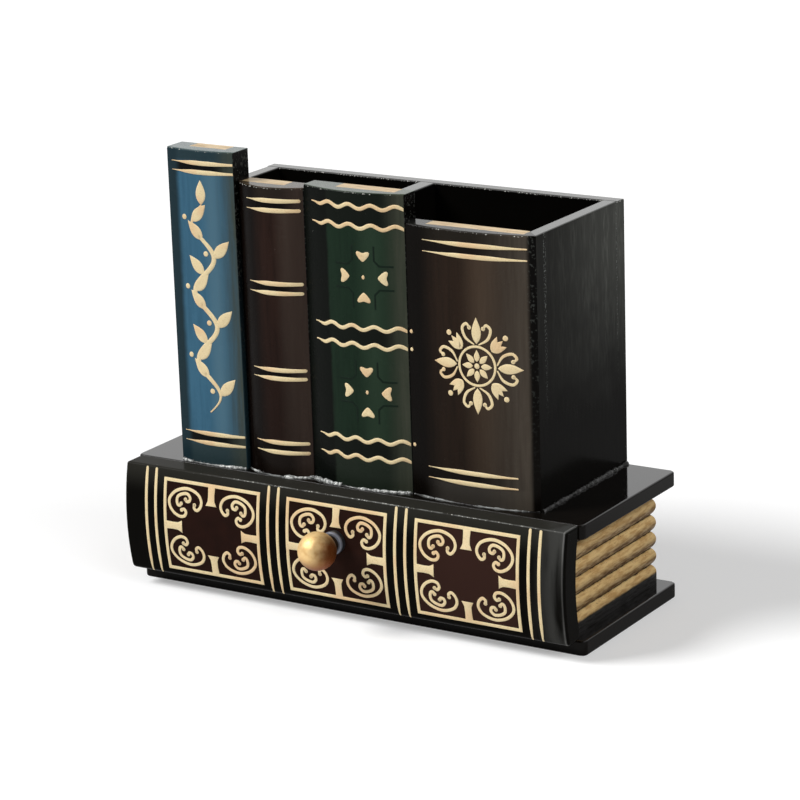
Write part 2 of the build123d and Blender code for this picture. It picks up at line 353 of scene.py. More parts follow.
def on_top(node, soft):
    """1 on the upper face of a node."""
    top = corners(node)[1].z
    return ramp(now.z, top - 2 * soft, top - soft / 2)


def with_wear(colour, where, share):
    """The colour with pale chips where the mask is high."""
    chip_size = 0.75
    return mix(times(flecks(chip_size, share), where), colour, worn_tone)


def worn_edge(node, colour, band, share):
    """The colour with chips below the node's top, in a band of two depths and a softness."""
    deep, shallow, soft = band
    top = corners(node)[1].z
    return with_wear(colour, between(now.z, top - deep, top - shallow, soft), share)


@material
def board_lacquer(node):
    """A board's mirror-like lacquer, lightly chipped along its upper edges."""
    cloud_size, fleck_size, fleck_share = 18.0, 0.5, 0.26
    chip_band, chip_share, coat_share, gloss, depth = (0.55, 0.3, 0.1), 0.27, 0.12, (0.05, 0.14), 0.006
    colour = mix(noise(cloud_size), black_tone, brown_black_tone)
    colour = mix(flecks(fleck_size, fleck_share), colour, streak_tone)
    paint(worn_edge(node, colour, chip_band, chip_share))
    lacquer_surface(level_grain, wall_specular, gloss, depth)
    glossy_top(node, coat_share)


def outer_faces(node, sides):
    """1 on those sides of a wall that look outwards."""
    low, high = corners(node)
    shell, outside = 0.2, 0.0
    faces = {"left": (now.x, low.x, 1), "right": (now.x, high.x, -1), "back": (now.y, high.y, -1)}
    for side in sides:
        away, face, inward = faces[side]
        shown = ramp(away, face + 2 * inward * shell, face + inward * shell)
        outside = larger(outside, shown)
    return outside


@material
def wall_lacquer(node, outer, joints, rim_share):
    """A rack wall: plain inside; outside, brush streaks greyer towards its head and back as a painted
    reflection; a glossy worn rim.
    """
    low, high = corners(node)
    cloud_size, cloud_reach, streak_size, cloth_size, brush_size, patch_size = 18.0, 14.0, 1.1, 5.0, 1.6, 9.0
    foot_share, head_share, depth_shares = 0.22, 0.08, (0.2, 1.0)
    streaked, clothed, reflection_levels = (0.3, 0.75), (0.3, 0.7), (0.6, 1.2)
    head_reflection_tone, short_grain, gloss, depth = (80, 81, 77), (1.0, 1.0, 6.0), (0.12, 0.26), 0.04
    rim_soft, rim_band = 0.12, (0.6, 0.25, 0.1)
    tall = high.z - low.z
    height = wander(now.z, cloud_size, cloud_reach)
    aloft = ramp(height, low.z + foot_share * tall, high.z - head_share * tall)
    rearward = blend(ramp(now.y, spine_plane, back_plane), *depth_shares)
    streaks = ramp(noise(streak_size, many, short_grain), *streaked)
    cloth = ramp(noise(cloth_size, some, short_grain), *clothed)
    # Painted reflection: the outer faces greyer towards the head and the back, in brush streaks
    head_reflection = times(times(aloft, blend(times(streaks, cloth), *reflection_levels)), rearward)
    colour = mix(noise(cloud_size), deep_black_tone, black_tone)
    bumps = noise(brush_size, some, short_grain)
    if outer:
        outside = outer_faces(node, outer)
        colour = mix(times(head_reflection, outside), colour, head_reflection_tone)
        colour, bumps = crinkled(colour, bumps, joints, times(aloft, outside))
    colour = mix(on_top(node, rim_soft), colour, rim_tone)
    paint(worn_edge(node, colour, rim_band, rim_share))
    surface(noise(patch_size, some), gloss, bumps, depth, wall_specular)
    glossy_top(node, 0.0)


def crinkled(colour, bumps, joints, where):
    """Colour and bumps with a narrow crinkled seam at each joint's place along Y; its pale folds are painted
    glints.
    """
    seam_half, seam_soft, fold_size, fold_share, drift_size, drift = 0.7, 0.5, 0.8, 0.46, 5.0, 0.3
    fold_glint_tone, fold_lift = (108, 112, 109), 2.0
    folds = times(flecks(fold_size, fold_share), where)
    y = wander(now.y, drift_size, drift)
    for joint in joints:
        seam = times(between(y, joint - seam_half, joint + seam_half, seam_soft), folds)
        # Pale folds: painted glints on the crinkled lacquer
        colour = mix(seam, colour, fold_glint_tone)
        bumps = plus(bumps, times(seam, fold_lift))
    return colour, bumps


@material
def bead_lacquer():
    """Set lacquer: black, with painted highlights that make it paler in stretches and painted glints as
    bright spots, palest in its thick runs.
    """
    stretch_size, glint_size, glint_share, run_glint_share, pit_size, run_soft = 5.0, 0.9, 0.36, 0.5, 1.2, 1.5
    pale, bright, wall_share, dark_share = (126, 128, 126), (216, 217, 214), 0.05, 0.2
    along, sheen_levels, gloss, depth = (2.5, 2.0, 1.0), (0.42, 0.62), (0.14, 0.34), 0.12
    in_front = ramp(now.y, run_behind + run_soft, run_behind - run_soft)
    # Painted highlights: pale stretches, fainter on the wall beads and palest on the thick runs
    bead_sheen = ramp(noise(stretch_size, few, along), *sheen_levels)
    bead_sheen = times(bead_sheen, blend(in_front, wall_share, 1.0))
    runs = 0.0
    for run in thick_runs:
        start, end = run[1:3]
        runs = larger(runs, between(now.x, start, end, run_soft))
    runs = times(runs, in_front)
    bead_sheen = larger(bead_sheen, runs)
    # Painted glints: bright spots
    spots = times(flecks(glint_size, glint_share), blend(bead_sheen, dark_share, 1.0))
    run_glints = times(flecks(glint_size, run_glint_share), runs)
    paint(mix(larger(spots, run_glints), mix(bead_sheen, black_tone, pale), bright))
    surface(noise(pit_size), gloss, noise(pit_size, few), depth, bead_specular)


# Materials: the painted spines and drawer front

def spine_colour(node, look):
    """The painted front: field, painted highlight in a lighter stripe, dark left edge, painted reflection on
    a paler right edge, dark bands between rules, head and foot.
    """
    low, high = corners(node)
    streak_size, drift_size, drift, highlight_width_share, band_soft, end_soft = 1.4, 7.0, 0.5, 0.2, 0.5, 1.6
    deepened, highlight_levels, right_reflection_levels = (0.35, 0.8), (2.2, 4.4), (0.4, 1.3)
    x = wander(now.x, drift_size, drift)
    z = wander(now.z, drift_size, drift)
    streaks = noise(streak_size, many, upright_grain)
    colour = mix(ramp(streaks, *deepened), look.field, look.deep)
    # A painted highlight: a lighter upright stripe in the field
    highlight_x = low.x + look.glow_at
    stripe = between(x, highlight_x, highlight_x, highlight_width_share * (high.x - low.x))
    colour = mix(times(stripe, blend(streaks, *highlight_levels)), colour, look.glow)
    first, last = low.z + look.rises[0], low.z + look.rises[-1]
    colour = mix(ramp(z, last - end_soft, last + end_soft), colour, look.head)
    colour = mix(ramp(z, first + end_soft, first - end_soft), colour, look.foot)
    for lower, upper in zip(look.rises[0::2], look.rises[1::2]):
        gap = between(z, low.z + lower, low.z + upper, band_soft)
        colour = mix(gap, colour, look.gap)
    colour = mix(times(ramp(z, high.z, low.z), look.fade), colour, look.left)
    left_x = low.x + look.edges[0]
    colour = mix(ramp(x, left_x + look.soft, left_x - look.soft), colour, look.left)
    # Painted reflection: the right edge paler, in streaks
    right_reflection = ramp(x, high.x - look.edges[1], high.x)
    return mix(times(right_reflection, blend(streaks, *right_reflection_levels)), colour, look.right)


def spine_top(node, colour, look):
    """The glazed, shining top of a spine, with a dull page-coloured patch in its back part."""
    low, high = corners(node)
    top_soft, glaze_size, line_size, edge_soft, patch_depth_share = 0.14, 3.0, 0.8, 0.5, 0.52
    page_grain, lined, coat_roughness = (9.0, 1.0, 1.0), (0.4, 0.7), 0.1
    width = high.x - low.x
    patch_front = high.y - patch_depth_share * (high.y - low.y)
    left, right = look.page_shares
    top = on_top(node, top_soft)
    x = wander(now.x, glaze_size, edge_soft)
    y = wander(now.y, glaze_size, edge_soft)
    page = between(x, low.x + left * width, high.x - right * width, edge_soft)
    page = times(page, ramp(y, patch_front - edge_soft, patch_front + edge_soft))
    lines = ramp(noise(line_size, some, page_grain), *lined)
    pages = mix(lines, page_tone, page_line_tone)
    glaze = mix(noise(glaze_size), look.glaze, colour)
    glazed = minus(top, times(top, page))
    put("Coat Weight", times(glazed, look.shine))
    put("Coat Roughness", coat_roughness)
    return mix(top, colour, mix(page, glaze, pages))


@material
def spine_paint(node, look):
    """All of one spine: painted front, chipped head and foot, right side speckled with pale folds as painted
    glints, and top.
    """
    low, high = corners(node)
    foot_high, foot_low, foot_share, crown_band, crown_share = 1.3, 0.2, 0.34, (0.6, 0.25, 0.1), 0.41
    fold_size, fold_share, fleck_size, fleck_share, fold_foot_share = 1.1, 0.44, 0.45, 0.215, 0.85
    fold_glint_tone, gloss, depth = (50, 52, 49), (0.16, 0.36), 0.03
    colour = spine_colour(node, look)
    colour = mix(flecks(fleck_size, fleck_share), colour, worn_tone)
    foot = ramp(now.z, low.z + foot_high, low.z + foot_low)
    colour = with_wear(colour, foot, foot_share)
    colour = worn_edge(node, colour, crown_band, crown_share)
    side_x, side_soft = high.x - look.side, look.side / 3
    side = ramp(now.x, side_x - side_soft, side_x + side_soft)
    aloft = ramp(now.z, low.z, low.z + fold_foot_share * (high.z - low.z))
    # Pale folds on the right side: painted glints on lumpy lacquer
    folds = times(flecks(fold_size, fold_share), aloft)
    shaded = mix(aloft, look.left, deep_black_tone)
    colour = mix(side, colour, mix(folds, shaded, fold_glint_tone))
    paint(spine_top(node, colour, look))
    lacquer_surface(upright_grain, paint_specular, gloss, depth)


def drawer_ground(near_top):
    """Black lacquer, greyer towards its top, with a brush-marked painted highlight near its right end and a
    pale line there, partly wear and partly a painted highlight.
    """
    end = corners("drawer_front")[1].x
    upper, right_highlight_tone, right_reach, right_edge = (42, 41, 37), (62, 62, 60), 18.0, 0.9
    line_deep, line_shallow, line_soft, line_tone = 1.3, 0.8, 0.25, (104, 104, 102)
    brush_size, brushing = 6.0, (0.3, 0.6)
    # Painted highlight: a grey brush-marked band near the right end
    brushed_highlight = ramp(noise(brush_size, many, upright_grain), *brushing)
    brushed_highlight = times(ramp(now.x, end - right_reach, end - right_edge), brushed_highlight)
    ground = mix(near_top, black_tone, upper)
    ground = mix(brushed_highlight, ground, right_highlight_tone)
    at_end = ramp(now.x, end - right_edge, end - right_edge / 2)
    ground = mix(at_end, ground, black_tone)
    # A pale line near the end's arris: partly wear, partly a painted highlight
    end_line = between(now.x, end - line_deep, end - line_shallow, line_soft)
    return mix(times(end_line, brushed_highlight), ground, line_tone)


def drawer_panels(ground):
    """The ground with a red-brown field in each panel, paler at the right."""
    field, field_dark, field_right, soft, mottle_size = (44, 25, 20), (27, 18, 15), (52, 34, 29), 0.6, 6.0
    middle = corners("drawer_front")[0].z + panel_middle_rise
    half_high = panel_height / 2 - panel_line
    half_wide = panel_width / 2 - panel_line
    tall = between(now.z, middle - half_high, middle + half_high, soft)
    lit = 0.0
    for step in (-1, 0, 1):
        centre = step * panel_pitch
        wide = between(now.x, centre - half_wide, centre + half_wide, soft)
        lit = plus(lit, times(wide, tall))
    painted = mix(noise(mottle_size, many), field, field_dark)
    painted = mix(ramp(now.x, 0.0, panel_pitch), painted, field_right)
    return mix(lit, ground, painted)


@material
def drawer_paint():
    """The drawer front: ground, panels, flecks near its top and a chipped top arris rubbed grey, partly wear
    and partly a painted highlight.
    """
    top = corners("drawer_front")[1].z
    upper_reach, fleck_size, fleck_share, rub_size, rubbing = 12.0, 0.55, 0.25, 6.0, (0.3, 0.6)
    arris_from, arris_to, arris_fade, arris_highlight_tone = -50.0, 92.0, 20.0, (112, 113, 110)
    arris_deep, arris_shallow, arris_soft, arris_share = 0.34, 0.12, 0.1, 0.42
    gloss, depth = (0.14, 0.3), 0.02
    near_top = ramp(now.z, top - upper_reach, top)
    colour = drawer_panels(drawer_ground(near_top))
    specks = times(flecks(fleck_size, fleck_share), near_top)
    colour = mix(specks, colour, worn_tone)
    # The rubbed grey line along the top arris: partly wear and partly a painted highlight
    arris = between(now.z, top - arris_deep, top - arris_shallow, arris_soft)
    worn = times(arris, between(now.x, arris_from, arris_to, arris_fade))
    rubbed = times(worn, ramp(noise(rub_size, many), *rubbing))
    colour = mix(rubbed, colour, arris_highlight_tone)
    paint(with_wear(colour, worn, arris_share))
    lacquer_surface(level_grain, wall_specular, gloss, depth)


@material
def dark_line():
    """Thin dark green drawing under the gilding."""
    grain_size, dark, light, gloss = 0.6, (17, 27, 21), (27, 41, 32), (0.25, 0.45)
    grain = noise(grain_size, few)
    paint(mix(grain, dark, light))
    surface(grain, gloss, grain, 0.0, paint_specular)


# Materials: gilding, metal and wood

@material
def gilt_print():
    """Cream-gold paint, a little grainy and pinker in patches."""
    grain_size, patch_size, pinked, darkened = 0.35, 14.0, (0.45, 0.65), (0.5, 0.75)
    gloss, depth, specular = (0.35, 0.6), 0.03, 0.3
    grain = noise(grain_size, few)
    gold = mix(ramp(noise(patch_size), *pinked), gilt_tone, gilt_pink_tone)
    paint(mix(ramp(grain, *darkened), gold, gilt_dark_tone))
    surface(grain, gloss, grain, depth, specular)


@material
def gilt_pages(node):
    """Gold ribs, rubbed in patches, with painted shade on their lower halves and in the grooves, a painted
    shadow under the board's overhang, and a black plinth.
    """
    low, high = corners(node)
    rib_foot_rise, rib_pitch, eave_deep, eave_shallow, eave_shadow_share = 1.2, 6.8, 7.0, 2.0, 0.7
    groove_above, groove_below, crest, underside = (0.2, 0.0), (0.94, 1.0), (0.65, 0.95), (0.8, 0.22)
    drift_size, drift, patch_size, speck_size, speck_share, grain_size = 3.0, 0.3, 0.9, 0.45, 0.37, 0.4
    gold, rubbed, speck = (212, 180, 122), (184, 146, 92), (72, 46, 24)
    shade_tone, groove_shade_tone, plinth_tone = (72, 46, 20), (34, 20, 9), (10, 8, 6)
    rubbing, shading, specking, plinth_shares = (0.36, 0.66), (0.7, 1.0), (0.2, 1.0), (0.42, 0.56)
    along, gloss, depth, specular = (6.0, 6.0, 1.0), (0.34, 0.62), 0.08, 0.15
    rib_foot = low.z + rib_foot_rise
    height = wander(now.z, drift_size, drift)
    turn = reckon("DIVIDE", minus(height, rib_foot), rib_pitch)
    turn = reckon("FRACT", turn, 0.0)
    # Painted shade in the grooves between the ribs
    groove_shade = larger(ramp(turn, *groove_above), ramp(turn, *groove_below))
    patches = ramp(noise(patch_size, most, along), *rubbing)
    colour = mix(patches, gold, rubbed)
    # Painted shade on the lower half of each rib
    shaded = times(ramp(turn, *underside), blend(patches, *shading))
    colour = mix(shaded, colour, shade_tone)
    # Painted shadow under the top board's overhang
    eave_shadow = ramp(height, high.z - eave_deep, high.z - eave_shallow)
    colour = mix(times(eave_shadow, eave_shadow_share), colour, shade_tone)
    specks = blend(ramp(turn, *crest), *specking)
    specks = times(flecks(speck_size, speck_share), specks)
    colour = mix(specks, colour, speck)
    colour = mix(groove_shade, colour, groove_shade_tone)
    plinth_from, plinth_to = (rib_foot + share * rib_pitch for share in plinth_shares)
    paint(mix(ramp(height, plinth_from, plinth_to), plinth_tone, colour))
    surface(patches, gloss, noise(grain_size, some, along), depth, specular)


@material
def antique_brass():
    """The knob: pale satin brass, grainy, with painted shade below and to the right and a painted shadow on
    its neck.
    """
    low, high = corners("knob")
    patch_size, pit_size, tarnishing, side_drift, under_drift = 2.0, 0.4, (0.4, 0.75), 0.7, 0.6
    pale, brown = (250, 214, 152), (238, 194, 128)
    side, under, neck_shadow_tone = (84, 43, 13), (122, 52, 8), (34, 24, 14)
    shaded_side_shares, shaded_underside_shares, neck_shadow_shares = (0.5, 0.98), (0.52, 0.02), (0.9, 1.02)
    gloss, depth, specular, metallic = (0.36, 0.5), 0.12, 0.1, 0.45
    ball = high.z - low.z

    def across_ball(value, start, shares):
        return ramp(value, start + shares[0] * ball, start + shares[1] * ball)

    colour = mix(ramp(noise(patch_size, many), *tarnishing), pale, brown)
    # Painted shade: darker to the right and below, and a painted shadow on the neck
    across = wander(now.x, patch_size, side_drift)
    colour = mix(across_ball(across, low.x, shaded_side_shares), colour, side)
    height = wander(now.z, patch_size, under_drift)
    colour = mix(across_ball(height, low.z, shaded_underside_shares), colour, under)
    paint(mix(across_ball(now.y, low.y, neck_shadow_shares), colour, neck_shadow_tone))
    surface(noise(pit_size, few), gloss, noise(pit_size, some), depth, specular, metallic)


def plated_steel(bright, dull, metallic):
    """Dull plated steel's surface and its colour, a little blue."""
    patch_size, grain_size, gloss, depth = 1.5, 0.5, (0.35, 0.55), 0.02
    grain = noise(grain_size, few)
    surface(grain, gloss, grain, depth, plain_specular, metallic)
    return mix(noise(patch_size, some), bright, dull)


@material
def screw_steel():
    bright, dull, metallic = (138, 141, 152), (98, 101, 110), 0.4
    paint(plated_steel(bright, dull, metallic))


@material
def washer_steel():
    """The knob's washer: dull steel, with painted shade on its side behind its face."""
    bright, dull, metallic, edge, face_depth = (112, 116, 127), (100, 103, 113), 0.3, (30, 30, 33), 1.7
    face = corners("knob_washer")[0].y
    # Painted shade on the washer's side behind its face
    behind = ramp(now.y, face + face_depth / 2, face + face_depth)
    paint(mix(behind, plated_steel(bright, dull, metallic), edge))


@material
def lacquered_steel():
    """Steel brads under the black lacquer."""
    patch_size, grain_size, bare, rubbing = 0.8, 0.4, (44, 43, 41), (0.5, 0.7)
    gloss, depth = (0.3, 0.5), 0.03
    rubbed = ramp(noise(patch_size, some), *rubbing)
    paint(mix(rubbed, brown_black_tone, bare))
    grain = noise(grain_size, few)
    surface(grain, gloss, grain, depth, paint_specular)


@material
def stained_wood():
    """The drawer box: wood under a thin black stain, with its grain from front to back."""
    grain_size, grain_stretch, figure_size, figure_stretch = 1.2, (1.0, 16.0, 1.0), 9.0, (1.0, 5.0, 1.0)
    early, late, figured = (58, 49, 42), (30, 26, 23), (44, 38, 33)
    grained, figuring, gloss, depth = (0.35, 0.7), (0.0, 0.5), (0.5, 0.72), 0.06
    grain = noise(grain_size, most, grain_stretch)
    figure = noise(figure_size, few, figure_stretch)
    colour = mix(ramp(grain, *grained), early, late)
    paint(mix(blend(figure, *figuring), colour, figured))
    surface(grain, gloss, grain, depth)


# Paths and outlines, as points across and up a front

def side_of(path, index, closed):
    """The direction across a path at one of its points, longer at a mitre."""
    sharpest = 0.5
    last = len(path) - 1
    before = path[index - 1] if index > 0 or closed else path[index]
    after = path[(index + 1) % len(path)] if index < last or closed else path[index]
    here = path[index]
    turns = [Vector(b) - Vector(a) for a, b in ((before, here), (here, after)) if a != b]
    along = sum((t.normalized() for t in turns), Vector((0, 0))).normalized()
    slant = max(along.dot(turns[0].normalized()), sharpest)
    return Vector((-along.y, along.x)) / slant


def line(start, end, steps):
    a, b = Vector(start), Vector(end)
    return [tuple(a.lerp(b, i / steps)) for i in range(steps + 1)]


def bent_line(points, steps):
    """Points along straight runs, with the last point left out."""
    path = []
    for a, b in zip(points, points[1:]):
        path += line(a, b, steps)[:-1]
    return path


def smooth(points, steps):
    """A curve through the points, with that many steps from each to the next."""
    ends = [points[0], *points, points[-1]]
    curve = []
    for p0, p1, p2, p3 in zip(ends, ends[1:], ends[2:], ends[3:]):
        a, b, c, d = Vector(p0), Vector(p1), Vector(p2), Vector(p3)
        for i in range(steps):
            t = i / steps
            curve.append(tuple(0.5 * (2 * b + (c - a) * t + (2 * a - 5 * b + 4 * c - d) * t ** 2
                                      + (3 * b - a - 3 * c + d) * t ** 3)))
    return curve + [tuple(points[-1])]


def ease(share):
    """0 at 0, 1 at 1 and level at both."""
    share = min(max(share, 0.0), 1.0)
    return share * share * (3 - 2 * share)


def swell(count, widest, start, end, full_from, full_to):
    """Widths of a brush stroke, from both end widths as shares and the places between which it is full."""
    widths = []
    for i in range(count):
        share = i / (count - 1)
        up = start + (1 - start) * ease(share / full_from)
        down = end + (1 - end) * ease((1 - share) / (1 - full_to))
        widths.append(widest * min(up, down))
    return widths


def capped(path, widths):
    """The path and widths of a stroke with a round cap added at both ends."""
    def cap(end, inner, width):
        out = (Vector(end) - Vector(inner)).normalized() * (width / 2)
        turns = [math.radians(angle) for angle in cap_angles]
        return [tuple(Vector(end) + out * math.sin(t)) for t in turns], [width * math.cos(t) for t in turns]

    head, head_widths = cap(path[0], path[1], widths[0])
    tail, tail_widths = cap(path[-1], path[-2], widths[-1])
    return head[::-1] + path + tail, head_widths[::-1] + widths + tail_widths


def polar(centre, reach, angle):
    return (centre[0] + reach * math.cos(angle), centre[1] + reach * math.sin(angle))


def circle(centre, radius, count=14):
    return [polar(centre, radius, 2 * math.pi * i / count) for i in range(count)]


def turned(points, angle, centre):
    c, s = math.cos(angle), math.sin(angle)
    return [(centre[0] + c * x - s * y, centre[1] + s * x + c * y) for x, y in points]


def mirrored(upper):
    """A closed outline from its upper half, which starts and ends on the axis."""
    return upper + [(x, -y) for x, y in reversed(upper[1:-1])]


def leaf(root, angle, length, width):
    """Outline of a pointed leaf that grows from root at that angle."""
    count, fullness = 8, 0.8
    shares = [i / count for i in range(count + 1)]
    upper = [(length * s, width / 2 * math.sin(math.pi * s ** fullness)) for s in shares]
    return turned(mirrored(upper), angle, root)


def heart(centre, angle):
    """Outline of a heart whose blunt point looks along the angle."""
    half_shares = ((1.0, 0.0), (0.86, 0.22), (0.3, 0.62), (-0.3, 0.93), (-0.72, 1.0), (-0.98, 0.82),
                   (-0.92, 0.5), (-0.76, 0.2), (-0.72, 0.0))
    upper = [(heart_length / 2 * u, heart_width / 2 * v) for u, v in half_shares]
    return turned(mirrored(upper), angle, centre)


# Raised paint on a bowed front

def skin(shape, rows, closed=False):
    """Faces between rings of vertices; the ends are filled, or joined where the row is closed."""
    following = rows[1:] + rows[:1] if closed else rows[1:]
    for first, second in zip(rows, following):
        for i in range(len(first)):
            j = (i + 1) % len(first)
            shape.faces.new((first[i], first[j], second[j], second[i]))
    if not closed:
        shape.faces.new(rows[0])
        shape.faces.new(rows[-1])


class Relief:
    """Raised paint on the front of one CAD node, gathered into a single mesh."""

    def __init__(self, node):
        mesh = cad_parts[node].data
        points = [v.co / MM for v in mesh.vertices]
        self.tree = BVHTree.FromPolygons(points, [list(p.vertices) for p in mesh.polygons])
        self.low, self.high = corners(node)
        self.mesh = bmesh.new()
        self.rise_share = 1.0

    def place(self, across, rise):
        """The point that far from the front's left edge and foot."""
        return (self.low.x + across, self.low.z + rise)

    def front(self, x, z):
        """The front's point and normal at x and z."""
        start = Vector((x, self.low.y - ray_start, z))
        return self.tree.ray_cast(start, Vector((0, 1, 0)))[:2]

    def laid(self, x, z, rise):
        """A vertex that stands that much proud of the front at x and z."""
        x = min(max(x, self.low.x + edge_keep), self.high.x - edge_keep)
        z = min(max(z, self.low.z + edge_keep), self.high.z - edge_keep)
        point, normal = self.front(x, z)
        return self.mesh.verts.new((point + normal * rise * self.rise_share * paint_rise) * MM)

    def stroke(self, path, widths, closed=False):
        """A band of paint along a path, crowned across its width."""
        rows = []
        for i, spot in enumerate(path):
            side = side_of(path, i, closed) * (widths[i] / 2)
            at = [(Vector(spot) + side * across, rise) for across, rise in stroke_section_shares]
            rows.append([self.laid(p.x, p.y, rise) for p, rise in at])
        skin(self.mesh, rows, closed)

    def brush(self, path, width, shape):
        """A brush stroke with round caps; its shape is both end widths and where it is full, as shares."""
        self.stroke(*capped(path, swell(len(path), width, *shape)))

    def plate(self, outline):
        """A patch of paint with a rounded edge."""
        middle = sum((Vector(p) for p in outline), Vector((0, 0))) / len(outline)
        rings = []
        for inset, rise in plate_section_shares:
            at = [middle + (Vector(p) - middle) * (1 - inset) for p in outline]
            rings.append([self.laid(p.x, p.y, rise) for p in at])
        skin(self.mesh, rings)

    def dot(self, centre, radius):
        self.plate(circle(centre, radius))

    def rules(self, rises, span, end_share):
        """Level brush strokes across a spine, pointed at the left."""
        point_share, full_from, full_to = 0.12, 0.42, 0.6
        shape = (point_share, end_share, full_from, full_to)
        for rise in rises:
            start, end = (self.place(across, rise) for across in span)
            self.brush(line(start, end, rule_steps), rule_width, shape)


def add_piece(name, body, shape, coat):
    """A mesh object that rides on a CAD body."""
    bmesh.ops.recalc_face_normals(shape, faces=shape.faces)
    mesh = bpy.data.meshes.new(name)
    shape.to_mesh(mesh)
    shape.free()
    mesh.polygons.foreach_set("use_smooth", [True] * len(mesh.polygons))
    mesh.set_sharp_from_angle(angle=math.radians(crease_angle))
    mesh.materials.append(coat)
    piece = new_object(name, mesh)
    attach(piece, body)


# Gilding on the spines

def blue_gilding(relief):
    """Rules at head and foot, and a climbing vine between them."""
    rule_end_share = 0.55
    vine_foot_rise, vine_head_rise, vine_turns, vine_swing, vine_shift = 22.0, 105.0, 3.0, 4.8, 0.6
    stem_width, stem_shape_shares, steps = 2.1, (0.3, 0.3, 0.2, 0.75), 110
    leaf_length, leaf_width, leaf_lean, buds_per_turn = 10.0, 4.6, 0.75, 4
    berry_out, berry_up, berry_radius = 3.6, 1.6, 1.1
    relief.rules(blue_rule_rises, blue_rule_span, rule_end_share)
    middle = (relief.low.x + relief.high.x) / 2 + vine_shift
    foot = relief.low.z + vine_foot_rise
    climb = vine_head_rise - vine_foot_rise

    def stem(share):
        return (middle + vine_swing * math.sin(2 * math.pi * vine_turns * share), foot + climb * share)

    relief.brush([stem(i / steps) for i in range(steps + 1)], stem_width, stem_shape_shares)
    buds = int(buds_per_turn * vine_turns)
    for i in range(1, buds):
        root = stem(i / buds)
        lean = -leaf_lean if i % 2 else leaf_lean
        relief.plate(leaf(root, math.pi / 2 + lean, leaf_length, leaf_width))
        if i % 2:
            relief.dot((root[0] - berry_out, root[1] + berry_up), berry_radius)
    relief.plate(leaf(stem(1.0), math.pi / 2, leaf_length, leaf_width))


def brown_gilding(relief):
    """Pairs of rules from foot to head."""
    rule_end_share = 0.75
    relief.rules(brown_rule_rises, brown_rule_span, rule_end_share)


def wave(start, end, up):
    """A wavy line that starts in a nearly level tail."""
    tail_share, tail_height_share = 0.16, 0.2
    path = []
    for i in range(wave_steps + 1):
        share = i / wave_steps
        grown = tail_height_share + (1 - tail_height_share) * ease(share / tail_share)
        lift = -wave_height * grown * math.sin(2 * math.pi * wave_count * share + wave_turn)
        path.append((start + (end - start) * share, up + lift))
    return path


def green_gilding(relief):
    """Pairs of wavy lines, and four hearts about a dot between them."""
    wave_shape_shares = (0.3, 0.8, 0.14, 0.95)
    start, end = (relief.low.x + across for across in wave_span)
    for rise in wave_rises:
        relief.brush(wave(start, end, relief.low.z + rise), wave_width, wave_shape_shares)
    wide, high = heart_dot_width / 2, heart_dot_height / 2
    oval = [(u * wide, v * high) for u, v in circle((0, 0), 1)]
    for rise in heart_centre_rises:
        centre = relief.place(heart_centre_across, rise)
        for angle in quarter_turns:
            relief.plate(heart(polar(centre, heart_reach, angle), angle + math.pi))
        relief.plate(turned(oval, 0, centre))


def green_drawing(ink):
    """A dark stepped cross round each four hearts: a bent line in each corner between two hearts."""
    relief = Relief("green_spine")
    line_width, line_rise_share, steps = 0.8, 0.3, 5
    near, far, line_end = 4.6, 6.6, 12.2
    bend = ((near, line_end), (near, far), (far, near), (line_end, near))
    relief.rise_share = line_rise_share
    for rise in heart_centre_rises:
        centre = relief.place(heart_centre_across, rise)
        for u in (-1, 1):
            for v in (-1, 1):
                points = turned([(u * x, v * z) for x, z in bend], 0, centre)
                path = bent_line(points, steps) + [points[-1]]
                relief.stroke(path, [line_width] * len(path))
    add_piece("green_drawing", "case", relief.mesh, ink)


def rosette(relief, centre):
    """A flower in a ring, with four fleurons and four sprays about it."""
    petal_length, petal_width, petal_count, petal_gap, eye_radius = 4.7, 2.4, 8, 1.6, 1.1
    ring_radius, ring_line, ring_points = 7.5, 1.0, 48
    fleuron_root, fleuron_length, fleuron_width = 8.4, 10.4, 4.0
    curl_points = ((8.4, 1.2), (10.6, 4.6), (14.2, 5.9), (16.0, 4.2), (14.6, 2.9))
    curl_width, curl_steps, curl_ball, curl_shape_shares = 1.2, 8, 0.85, (0.5, 0.7, 0.3, 0.7)
    spray_root, spray_length, spray_width, spray_fan = 8.6, 6.6, 2.6, 0.42
    berry_reach, berry_radius = 16.6, 1.1
    for i in range(petal_count):
        angle = 2 * math.pi * i / petal_count
        relief.plate(leaf(polar(centre, petal_gap, angle), angle, petal_length, petal_width))
    relief.dot(centre, eye_radius)
    relief.stroke(circle(centre, ring_radius, ring_points), [ring_line] * ring_points, closed=True)
    for angle in quarter_turns:
        relief.plate(leaf(polar(centre, fleuron_root, angle), angle, fleuron_length, fleuron_width))
        for hand in (-1, 1):
            curl = turned([(x, hand * y) for x, y in curl_points], angle, centre)
            relief.brush(smooth(curl, curl_steps), curl_width, curl_shape_shares)
            relief.dot(curl[-1], curl_ball)
        slant = angle + math.pi / 4
        root = polar(centre, spray_root, slant)
        for fan in (-1, 0, 1):
            relief.plate(leaf(root, slant + fan * spray_fan, spray_length, spray_width))
        relief.dot(polar(centre, berry_reach, slant), berry_radius)


def broad_gilding(relief):
    """Rules at head and foot, a rosette, and dots where the neighbour's waves ran over."""
    rule_end_share, rosette_across, rosette_rise = 0.35, 31.2, 54.8
    relief.rules(broad_rule_rises[:2], broad_foot_span, rule_end_share)
    relief.rules(broad_rule_rises[2:], broad_head_span, rule_end_share)
    for rise in overrun_rises:
        relief.dot(relief.place(overrun_across, rise), overrun_dot)
    rosette(relief, relief.place(rosette_across, rosette_rise))


# Gilding on the drawer front

